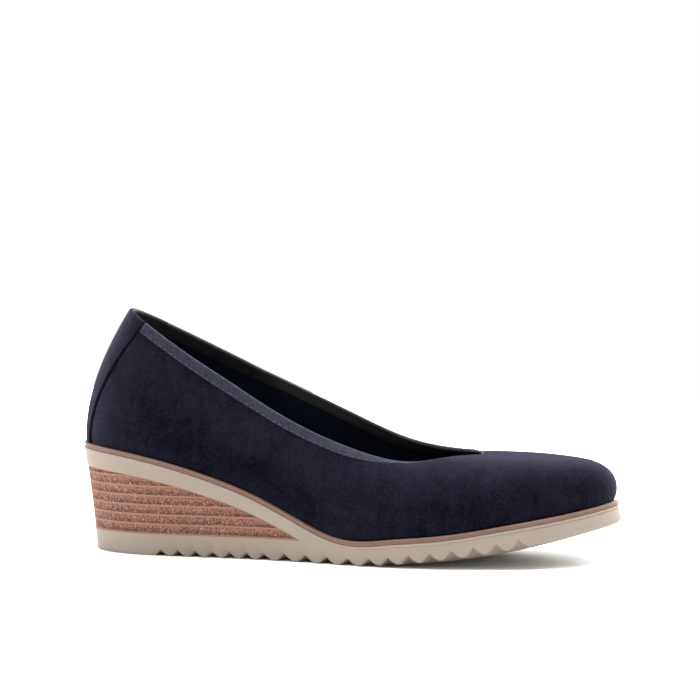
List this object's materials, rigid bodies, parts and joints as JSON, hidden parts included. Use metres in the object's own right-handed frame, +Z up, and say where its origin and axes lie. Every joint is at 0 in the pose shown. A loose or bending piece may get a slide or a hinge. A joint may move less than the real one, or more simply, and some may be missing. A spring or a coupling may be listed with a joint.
{
  "type": "wedge pump shoe",
  "caption": "Low-cut slip-on wedge pump: suede upper with bound topline and back strip, on a rand, stacked wedge and rubber sole with notched edge.",
  "frame": {"origin": "on the floor, under the middle of the shoe's plan", "axes": "+X from heel to toe, +Y to the inner side of the foot, +Z up"},
  "size_m": [0.2459, 0.0818, 0.1083],
  "materials": {
    "suede": "navy suede with a short nap",
    "binding": "flat grey-blue binding tape",
    "rand": "matte brown",
    "sole_rubber": "smooth matte beige",
    "stack": "layered cork look",
    "sock": "dark sock lining"
  },
  "bodies": {
    "root": {"upper": "suede", "back_strip": "suede", "topline_binding": "binding", "rand": "rand", "sole_unit": "sole_rubber", "wedge_heel": "stack", "insole": "sock"}
  },
  "joints": []
}
